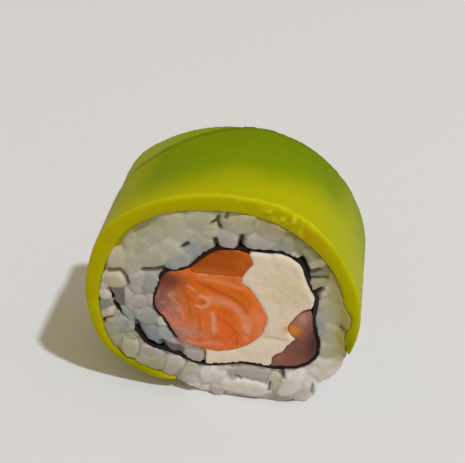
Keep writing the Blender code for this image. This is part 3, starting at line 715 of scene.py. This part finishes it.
def grain(middle, along, out, length, width, level, tone):
    """One cooked grain: a drawn-out ball, slightly bent, flattened where it reaches the level."""
    along = Vector(along).normalized()
    out = (Vector(out) - along * along.dot(Vector(out))).normalized()
    turn = Matrix((out.cross(along), out, along)).transposed().to_4x4()
    size = Matrix.Diagonal((width / 2, max(width, 2.4 * MM) / 2, length / 2, 1))
    ball = bmesh.new()
    bmesh.ops.create_uvsphere(ball, u_segments=14, v_segments=10, radius=1.05)
    bend, taper, seed = draw.uniform(-0.25, 0.25), draw.uniform(-0.16, 0.16), draw.uniform(0, 90)
    for vert in ball.verts:
        x, y, z = vert.co
        lump = 1.0 + 0.16 * z * z + 0.16 * rough(vert.co, 1.1, seed)
        vert.co = Vector((x * (1 + taper * z) * lump + bend * (z * z - 0.4), y * lump, z * 0.97))
    bmesh.ops.transform(ball, matrix=Matrix.Translation(middle) @ turn @ size, verts=ball.verts)
    cut = (out + along * draw.uniform(-0.08, 0.08)
           + out.cross(along) * draw.uniform(-0.14, 0.14)).normalized()
    for vert in ball.verts:
        if level is not None:
            vert.co -= cut * max(0.0, (vert.co - level).dot(cut)) * GRAIN_PRESS
        vert.co = held_in(vert.co + warp(vert.co))
    ball.to_mesh(grain_mesh)
    ball.free()
    rice.from_mesh(grain_mesh)
    shade = 1 + draw.uniform(-0.05, 0.05)
    grain_places.append((np.array(middle), np.array(turn.to_3x3()), length, width,
                         np.array(linear(RICE_TONES[tone])[:3]) * shade))


for tone, rows in FACE_GRAINS.items():
    for x, z, length, width, angle, back in rows:
        lean = math.radians(angle)
        sunk = max(width, 2.4) / 2 * 0.5
        grain(Vector((x, FRONT / MM + back + sunk, z)) * MM,
              (math.cos(lean), draw.uniform(-0.06, 0.06), math.sin(lean)), (0, -1, 0),
              length * MM, width * MM, Vector((x, FRONT / MM + back, z)) * MM, tone)

# The tones of the grains that the photograph doesn't show, at the rear face and on the flank.
COMMON_TONES = ["pearl", "pearl", "pale", "beige", "cool", "mauve", "pearl", "mauve"]
FLANK_TONES = ["pale", "pale", "beige", "mauve", "pale", "cool"]


def in_rice(x, z):
    """Whether a place in the cut face is rice, by counting the walls above it at mid length."""
    start, walls = Vector((x, 0, z)) * MM, 0
    while True:
        hit = rice_tree.ray_cast(start, (0, 0, 1))[0]
        if hit is None:
            return walls % 2 == 1
        walls += 1
        start = hit + Vector((0, 0, 0.01 * MM))


# The rear face: grains spread by a seeded draw, kept off one another, the seaweed and the edges.
REAR_TRIES = 3000
REAR_SPACING = 2.4
placed = []
for _ in range(REAR_TRIES):
    x, z = draw.uniform(-21, 22), draw.uniform(0.5, 38.5)
    lean = draw.uniform(0, math.pi)
    long, wide = GRAIN_LENGTH * draw.uniform(0.7, 1.05), GRAIN_WIDTH * draw.uniform(0.8, 1.1)
    rim = [(x + share * long * math.cos(lean), z + share * long * math.sin(lean))
           for share in (-0.38, 0.38)]
    rim += [(x - share * wide * math.sin(lean), z + share * wide * math.cos(lean))
            for share in (-0.38, 0.38)]
    if any(math.dist((x, z), other) < REAR_SPACING for other in placed):
        continue
    if not all(in_rice(*corner) for corner in rim):
        continue
    centre = Vector((x, 0, z)) * MM
    arms = [Vector((corner[0], 0, corner[1])) * MM - centre for corner in rim]
    if any(sheet_tree.ray_cast(centre, arm, arm.length * 1.4)[0] for arm in arms):
        continue
    placed.append((x, z))
    back = draw.uniform(0.0, 0.4)
    y = BACK / MM - back - wide / 2 * 0.5
    grain(Vector((x, y, z)) * MM, (math.cos(lean), draw.uniform(-0.1, 0.1), math.sin(lean)),
          (0, 1, 0), long * MM, wide * MM, Vector((x, BACK / MM - back, z)) * MM,
          draw.choice(COMMON_TONES))

# The flank and the underside: rows of grains along the roll, wherever no avocado covers the rice.
# The rows start low on the right, and go round under the roll in steps of an angle in degrees.
FLANK_STEPS, FLANK_FROM, FLANK_TURN = 30, -16, 3.1
ROW_GRAINS = 5
for step in range(FLANK_STEPS):
    turn = math.radians(FLANK_FROM - step * FLANK_TURN)
    for row in range(ROW_GRAINS):
        out = Vector((math.cos(turn), 0, math.sin(turn)))
        y = (row - 2) * 4.2 + draw.uniform(-1.0, 1.0) + (step % 2) * 1.6
        start = Vector((0, y, 18)) * MM + out * 60 * MM
        hit, _, _, far = rice_tree.ray_cast(start, -out)
        covers = [tree.ray_cast(start, -out)[3] for tree in cover_trees]
        if hit is None or abs(y) > 9.6 or any(c is not None and c < far + 1.0 * MM for c in covers):
            continue
        lean = draw.uniform(-0.9, 0.9)
        around = Vector((-out.z, 0, out.x))
        along = Vector((0, 1, 0)) * math.cos(lean) + around * math.sin(lean)
        wide = GRAIN_WIDTH * draw.uniform(0.85, 1.05)
        middle = hit - out * wide * MM * 0.42
        level = None
        if middle.z < wide * MM * 0.5:
            middle.z = wide * MM * 0.36
            out, level = Vector((0, 0, -1)), Vector((0, 0, 0.02 * MM))
        grain(middle, along, out, GRAIN_LENGTH * MM * draw.uniform(0.8, 1.05), wide * MM,
              level, draw.choice(FLANK_TONES))

bpy.data.meshes.remove(grain_mesh)

# The grains become one mass. It sinks at the crevices and under the thick rim, and lies level
# where the knife smeared it.
rice = remeshed(rice, RICE_VOXEL)
soften(rice, 1, 0.35)
spots = points_of(rice)
depth = np.zeros(len(spots))
for line, width, deep in CREVICES:
    depth = np.maximum(depth, near_line(spots, line, width) * deep)
depth *= spots[:, 1] < FRONT + 1.5 * MM
under_rim = near_line(spots, THICK_RIM, 1.9) * (spots[:, 1] < FRONT + 1.5 * MM)
smear = sum(near_line(spots, line, width) for line, width in SMEARED)
smear = np.clip(smear, 0, 0.65) * (spots[:, 1] < FRONT + 1.2 * MM)
for vert, sink, share in zip(rice.verts, depth + 1.3 * under_rim, smear):
    vert.co.y += (FRONT + 0.25 * MM - vert.co.y) * share + sink * MM
grow(rice, lambda point: (0.04 + 0.07 * rough(point, 1.2 * MM, 4.0)
                          + 0.03 * rough(point, 0.5 * MM, 9.0)) * MM,
     ("nori", "avocado_front", "avocado_rear"), 0.28 * MM,
     MM * (0.12 * near_line(spots, BY_SALMON, 1.6)
           + 0.22 * np.array([rough(spot, 0.8 * MM, 61.0) for spot in spots])))
# Each point takes the tones of the grains that reach it, with painted shade in the creases
# and gaps between them and a painted highlight on each grain's upper rim.
unwarped = spots - np.array([warp(spot) for spot in spots])
first, second = np.full(len(spots), 9.0), np.full(len(spots), 9.0)
total, weights, above = np.zeros((len(spots), 3)), np.zeros(len(spots)), np.zeros(len(spots))
for middle, turn, length, width, tone in grain_places:
    offset = unwarped - middle
    close = np.flatnonzero(np.abs(offset).max(axis=1) < length)
    local = offset[close] @ turn
    reach = np.sqrt((local[:, 0] / (width / 2)) ** 2 + (local[:, 1] / (1.55 * MM)) ** 2
                    + (local[:, 2] / (length / 2)) ** 2)
    second[close] = np.minimum(second[close], np.maximum(first[close], reach))
    above[close] = np.where(reach < first[close], offset[close, 2] / MM, above[close])
    first[close] = np.minimum(first[close], reach)
    weight = np.exp(-14 * np.clip(reach - 0.5, 0, 2.0))
    total[close] += weight[:, None] * tone
    weights[close] += weight
# The starch where no grain reaches, darker than the grains as painted shade in the gaps.
gap_tone = np.array(linear("#A5A08C")[:3])
FAINT = 1e-6
colours = (total + gap_tone * FAINT) / (weights + FAINT)[:, None]
# Painted shade in the creases, turning to faint lighter lines in some patches, and painted shade
# where no grain reaches.
crease = np.exp(-((second - first) / 0.14) ** 2) * step_up(first, 0.5, 0.9) * (1 - smear)
outside = step_up(first, 1.05, 1.6)
patches = np.array([rough(spot, 3.2 * MM, 15.0) for spot in spots])
cloud = np.array([rough(spot, 1.0 * MM, 18.0) for spot in spots])
# A painted highlight along the upper rim of each grain.
grain_top_highlight = step_up(first, 0.55, 0.85) * (1 - crease) * step_up(above, 0.1, 1.1)
colours *= (1 - crease * (0.14 + 0.4 * patches) - 0.22 * outside + 0.17 * grain_top_highlight
            + 0.1 * cloud - 0.02)[:, None]
# Painted shade deep in the crevices.
colours = blend(colours, "#3E382C", np.clip(depth, 0, 1) ** 1.5 * 0.7)
# Painted yellow light from the avocado on the rice near it, stronger towards the right, but not at
# the foot.
near = np.array([min(tree.find_nearest(Vector(spot))[3] for tree in cover_trees)
                 for spot in spots])
foot = step_up(spots[:, 0], -9 * MM, -5 * MM) * step_up(-spots[:, 2], -9 * MM, -5 * MM)
colours = blend(colours, "#9E9440", np.exp(-(near / (2.6 * MM)) ** 2) * (1 - foot)
                * (0.25 + 0.5 * step_up(spots[:, 0], 0, 12 * MM)))
colours = blend(colours, "#E2DED8", foot * near_spot(spots, -3.5, 2.6, 3.0, 3.0) * 0.5)
# Painted light on the lower right flank.
colours = blend(colours, "#EAE6E0", step_up(spots[:, 0], 11 * MM, 16 * MM)
                * step_up(-spots[:, 2], -11 * MM, -7 * MM) * 0.5)
paint(rice, "grain", colours)
for vert in rice.verts:
    vert.co.z = max(vert.co.z, 0.01 * MM)
    vert.co.y = min(max(vert.co.y, FRONT), BACK)
# Moist, pearly and slightly translucent, a little different in grey from grain to grain, with
# small glints where the starch is wet.
rice_flesh = food_material(
    "cooked short-grain rice, seasoned and pressed", "grain", 1.43 * MM, 0.09 * MM, 0.08,
    Roughness=0.3, IOR=1.38, Specular_IOR_Level=0.5, Subsurface_Weight=0.6,
    Subsurface_Scale=0.9 * MM, Subsurface_Radius=(1.0, 0.92, 0.8))
finish_piece("pressed_rice", rice, rice_flesh, "rice", "rice")
